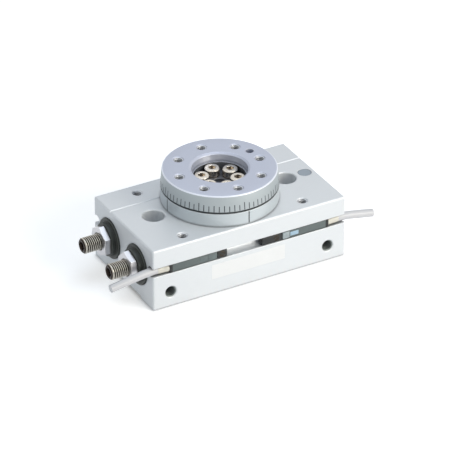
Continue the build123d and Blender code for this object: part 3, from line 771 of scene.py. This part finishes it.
# Marks: a degree scale round the table's foot and four lines on the collar
scale = {"count": 72, "everyLong": 9, "longFirst": -4.6, "width": 0.29, "low": 29.98, "proud": 0.012,
         "heights": (2.1, 2.4, 2.9)}
collarMarks = {"count": 4, "turn": -90.0, "width": 0.42, "low": 24.35, "high": 28.95, "proud": 0.012}
mark = {"depth": 0.05, "edge": 0.008}


def addMark(target, angle, width, low, high, wallAt, proud):
    shape = cuboid((-mark["depth"], -width / 2, low), (proud, width / 2, high), mark["edge"], 1)
    for vert in shape.verts:
        vert.co.x += wallAt(vert.co.z)
    addShape(target, shape, Matrix.Rotation(math.radians(angle), 4, "Z"))


def makeScale():
    top = boxOf("table")[1].z
    bm = bmesh.new()
    for index in range(scale["count"]):
        place = index % scale["everyLong"]
        kind = 2 if place == 0 else place % 2
        addMark(bm, scale["longFirst"] + 360 * index / scale["count"], scale["width"], scale["low"],
                scale["low"] + scale["heights"][kind], lambda height: wallRadius(top, height),
                scale["proud"])
    finishPiece("tableScale", bm, "engraved", "table_assembly")


def makeCollarMarks():
    radius = boxOf("bearing_retainer")[1].x
    bm = bmesh.new()
    for index in range(collarMarks["count"]):
        addMark(bm, collarMarks["turn"] + 360 * index / collarMarks["count"], collarMarks["width"],
                collarMarks["low"], collarMarks["high"], lambda height: radius, collarMarks["proud"])
    finishPiece("collarMarks", bm, "engraved", "housing")


makeScale()
makeCollarMarks()
say("marks")

# Threads inside the tapped holes, as thin sleeves against the walls of the construction holes
tapped = {
    "wall": 1.72, "crest": 1.42, "root": 1.69, "pitch": 0.7, "lead": 0.3, "rowsPerTurn": 7, "columns": 36,
    "sharp": 60,
}
tableHoles = {"circle": 15.5, "count": 8, "turn": -4.6, "depth": 5.5}
cornerHoles = {"x": 24.0, "y": 16.5, "depth": 5.9}
ports = {"x": 31.5, "z": 5.9, "wall": 2.12, "crest": 1.74, "root": 2.09, "pitch": 0.8, "depth": 6.3}


def sleeve(size, depth):
    rows = round((depth - size["lead"]) / size["pitch"] * size["rowsPerTurn"])
    step = (depth - size["lead"]) / rows
    points = [(size["root"], -size["lead"] - step * row) for row in range(rows + 1)]
    points += [(size["wall"], -depth), (size["wall"], -size["lead"])]
    bm = spun(points, size["columns"])
    cutThread(bm, size["root"], size["pitch"], size["root"], size["crest"], -depth + step / 2,
              -size["lead"] - step / 2)
    return bm


def makeTapped():
    top = boxOf("table")[1].z
    bm = bmesh.new()
    for index in range(tableHoles["count"]):
        angle = math.radians(tableHoles["turn"] + 360 * index / tableHoles["count"])
        place = (tableHoles["circle"] * math.cos(angle), tableHoles["circle"] * math.sin(angle), top)
        addShape(bm, sleeve(tapped, tableHoles["depth"]), Matrix.Translation(place))
    finishPiece("tableThreads", bm, "holeThread", "table_assembly",
                sharp=tapped["sharp"])
    top = boxOf("body")[1].z
    bm = bmesh.new()
    for x in (-cornerHoles["x"], cornerHoles["x"]):
        for y in (-cornerHoles["y"], cornerHoles["y"]):
            addShape(bm, sleeve(tapped, cornerHoles["depth"]), Matrix.Translation((x, y, top)))
    finishPiece("cornerThreads", bm, "holeThread", "housing", sharp=tapped["sharp"])
    face = boxOf("body")[0].y
    bm = bmesh.new()
    for x in (-ports["x"], ports["x"]):
        place = Matrix.Translation((x, face, ports["z"])) @ Matrix.Rotation(math.pi / 2, 4, "X")
        addShape(bm, sleeve({**tapped, **ports}, ports["depth"]), place)
    finishPiece("portThreads", bm, "portThread", "housing", sharp=tapped["sharp"])


makeTapped()
say("threads")

# The bare plate on the front face
plate = {"low": (-15.3, 6.0), "high": (14.1, 11.8), "proud": 0.012, "sunk": 0.1, "edge": 0.03}


def makePlate():
    face = boxOf("body")[0].y
    left, bottom = plate["low"]
    right, top = plate["high"]
    bm = cuboid((left, face - plate["proud"], bottom), (right, face + plate["sunk"], top), plate["edge"], 1)
    finishPiece("namePlate", bm, "labelPlate", "housing")


makePlate()

# Sensors: places along X are counted from the table's axis outwards
sensorSizes = {
    "left": {
        "hand": -1, "inner": 8.9, "screw": 11.0, "clampEnd": 13.05, "patch": (13.3, 16.6),
        "window": (16.8, 19.9), "patchFinish": "sensorGrey", "windowFinish": "sensorGrey"},
    "right": {
        "hand": 1, "inner": 4.9, "screw": 10.75, "clampEnd": 13.1, "patch": (13.3, 16.0),
        "window": (16.2, 19.7), "patchFinish": "sensorPatch", "windowFinish": "lensPlastic"},
}
sensorShape = {
    "outer": 31.8, "face": -21.6, "back": -18.6, "middle": 15.2, "half": 1.58, "edge": 0.2, "rod": 1.76,
    "clampProud": 0.06, "clampEdge": 0.55, "showProud": 0.05, "showHalf": 1.3, "windowHalf": 0.85,
    "patchEdge": 0.12, "windowEdge": 0.2, "capStart": 30.6, "capPast": 0.05, "capProud": 0.03,
    "leadY": -19.8, "columns": 40,
}
sensorScrew = {
    "radius": 1.25, "edge": 0.12, "length": 2.2, "proud": 0.03, "slotWidth": 0.42, "slotDepth": 0.6,
    "turn": 35.0, "columns": 48,
}
leadRoot = {"bore": 1.4, "radius": 1.7, "step": 0.1, "stepFrom": 1.4, "stepTo": 1.6, "neck": 3.3, "end": 4.4,
            "endRadius": 1.47}


def slottedScrew():
    radius, edge, length = sensorScrew["radius"], sensorScrew["edge"], sensorScrew["length"]
    half = sensorScrew["slotWidth"] / 2
    bm = spun([(0, 0), (radius - edge, 0), (radius, -edge), (radius, -length), (0, -length)],
              sensorScrew["columns"], closed=False)
    for side in (-half, half):
        bmesh.ops.bisect_plane(bm, geom=bm.verts[:] + bm.edges[:] + bm.faces[:], dist=0.0001,
                               plane_co=(0, side, 0), plane_no=(0, 1, 0))
    slot = []
    for face in bm.faces:
        middle = face.calc_center_median()
        if abs(middle.y) < half and middle.z > -edge:
            slot.append(face)
    made = bmesh.ops.extrude_face_region(bm, geom=slot)["geom"]
    bmesh.ops.translate(bm, vec=(0, 0, -sensorScrew["slotDepth"]), verts=pick(made, bmesh.types.BMVert))
    bmesh.ops.delete(bm, geom=slot, context="FACES_ONLY")
    bmesh.ops.recalc_face_normals(bm, faces=bm.faces)
    return bm


def makeSensor(name):
    own, size = sensorSizes[name], sensorShape
    hand, middle, body = own["hand"], size["middle"], name + "_sensor_set"

    def span(start, end, face, half, edge):
        low, high = sorted((hand * start, hand * end))
        return cuboid((low, face, middle - half), (high, size["back"], middle + half), edge)

    bm = span(own["clampEnd"], size["outer"], size["face"], size["half"], size["edge"])
    low, high = sorted((hand * own["clampEnd"], hand * size["outer"]))
    rod = spun([(0, low), (size["rod"], low), (size["rod"], high), (0, high)], size["columns"], closed=False)
    addShape(bm, rod, Matrix.Translation((0, size["leadY"], middle)) @ Matrix.Rotation(math.pi / 2, 4, "Y"))
    finishPiece(name + "Sensor", bm, "sensorPlastic", body, [name + "_sensor"])

    show = size["face"] - size["showProud"]
    clamp = size["face"] - size["clampProud"]
    bm = span(own["inner"], own["clampEnd"], clamp, size["half"], size["clampEdge"])
    addShape(bm, span(size["capStart"], size["outer"] + size["capPast"], show,
                      size["half"] + size["capProud"], size["edge"]))
    finishPiece(name + "SensorEnds", bm, "sensorBlack", body)

    bm = span(*own["patch"], show, size["showHalf"], size["patchEdge"])
    finishPiece(name + "SensorPatch", bm, own["patchFinish"], body)
    bm = span(*own["window"], show, size["windowHalf"], size["windowEdge"])
    finishPiece(name + "SensorWindow", bm, own["windowFinish"], body,
                [name + "_sensor_lens"])

    bm = slottedScrew()
    place = Matrix.Translation((hand * own["screw"], clamp - sensorScrew["proud"], middle))
    place = place @ Matrix.Rotation(math.pi / 2, 4, "X")
    turn = Matrix.Rotation(math.radians(sensorScrew["turn"] * hand), 4, "Z")
    bmesh.ops.transform(bm, matrix=place @ turn, verts=bm.verts)
    finishPiece(name + "SensorScrew", bm, "screwBrown", body, [name + "_sensor_screw"])

    bore, radius, slim = leadRoot["bore"], leadRoot["radius"], leadRoot["radius"] - leadRoot["step"]
    bm = spun([(bore, 0), (radius, 0), (radius, leadRoot["stepFrom"]), (slim, leadRoot["stepTo"]),
               (slim, leadRoot["neck"]), (leadRoot["endRadius"], leadRoot["end"]), (bore, leadRoot["end"])],
              size["columns"])
    place = Matrix.Translation((hand * size["outer"], size["leadY"], middle))
    bmesh.ops.transform(bm, matrix=place @ Matrix.Rotation(hand * math.pi / 2, 4, "Y"), verts=bm.verts)
    finishPiece(name + "LeadRoot", bm, "leadRoot", body)


for name in sensorSizes:
    makeSensor(name)
say("sensors")


# Studio: a pale floor, soft lamps and a white view behind
studio = {
    "floorSize": 3.0,
    "floorColour": (236, 237, 239),
    "floorRough": 0.9,
    "floorGloss": 0.1,
    "floorGlow": 0.46,
    "floorShadowReach": 0.002,
    "glowColour": (1.0, 0.985, 0.955),
    "worldColour": (0.93, 0.96, 1.0),
    "worldStrength": 0.42,
}
lamps = {
    "frontLamp": {"place": (0.36, -0.66, 0.34), "size": 0.6, "watts": 5.5, "colour": (1.0, 0.965, 0.88)},
    "topLamp": {"place": (0.10, 0.10, 0.85), "size": 0.7, "watts": 1.85, "colour": (0.70, 0.84, 1.0)},
    "leftLamp": {"place": (-0.75, -0.10, 0.30), "size": 0.5, "watts": 0.55, "colour": (0.86, 1.0, 1.0)},
}


# 1 for the rays that should meet the white studio: straight from the camera, by a mirror or through glass
def seenRays(tree):
    rays = addNode(tree, "ShaderNodeLightPath")
    seen = calc(tree, "MAXIMUM", rays.outputs["Is Camera Ray"], rays.outputs["Is Glossy Ray"])
    return calc(tree, "MAXIMUM", seen, rays.outputs["Is Transmission Ray"])


def chooseShader(tree, plain, seen, end):
    choice = addNode(tree, "ShaderNodeMixShader", {"Fac": seenRays(tree)})
    tree.links.new(plain.outputs[0], choice.inputs[1])
    tree.links.new(seen.outputs[0], choice.inputs[2])
    tree.links.new(choice.outputs[0], tree.nodes[end].inputs["Surface"])


def makeFloor():
    bm = bmesh.new()
    bmesh.ops.create_grid(bm, x_segments=1, y_segments=1, size=studio["floorSize"] / 2)
    mesh = bpy.data.meshes.new("floor")
    bm.to_mesh(mesh)
    bm.free()
    floor = bpy.data.objects.new("floor", mesh)
    bpy.context.scene.collection.objects.link(floor)
    material, tree, shader = startMaterial("floor")
    shader.inputs["Base Color"].default_value = linear(*studio["floorColour"])
    shader.inputs["Roughness"].default_value = studio["floorRough"]
    shader.inputs["Specular IOR Level"].default_value = studio["floorGloss"]
    # Painted shadow: the floor's glow fades where the body hides the floor, by ambient occlusion
    under = useGroup(tree, "creviceShade", Reach=studio["floorShadowReach"], Power=1.0)
    strength = calc(tree, "MULTIPLY_ADD", under.outputs["Mask"], -studio["floorGlow"], studio["floorGlow"])
    glow = addNode(tree, "ShaderNodeEmission", {"Color": (*studio["glowColour"], 1), "Strength": strength})
    both = addNode(tree, "ShaderNodeAddShader")
    tree.links.new(shader.outputs[0], both.inputs[0])
    tree.links.new(glow.outputs[0], both.inputs[1])
    chooseShader(tree, shader, both, "Material Output")
    mesh.materials.append(material)


def makeWorld():
    world = bpy.data.worlds.new("studio")
    bpy.context.scene.world = world
    world.use_nodes = True
    tree = world.node_tree
    soft = tree.nodes["Background"]
    soft.inputs["Color"].default_value = (*studio["worldColour"], 1)
    soft.inputs["Strength"].default_value = studio["worldStrength"]
    white = addNode(tree, "ShaderNodeBackground", {"Color": (1, 1, 1, 1), "Strength": 1.0})
    chooseShader(tree, soft, white, "World Output")


def makeLamps():
    for name, row in lamps.items():
        data = bpy.data.lights.new(name, "AREA")
        data.shape = "DISK"
        data.size = row["size"]
        data.energy = row["watts"]
        data.color = row["colour"]
        lamp = bpy.data.objects.new(name, data)
        bpy.context.scene.collection.objects.link(lamp)
        lamp.location = row["place"]
        lamp.rotation_euler = Vector(row["place"]).to_track_quat("Z", "Y").to_euler()


makeCamera()
makeFloor()
makeWorld()
makeLamps()
bpy.context.scene.view_settings.view_transform = "Standard"
say("studio")
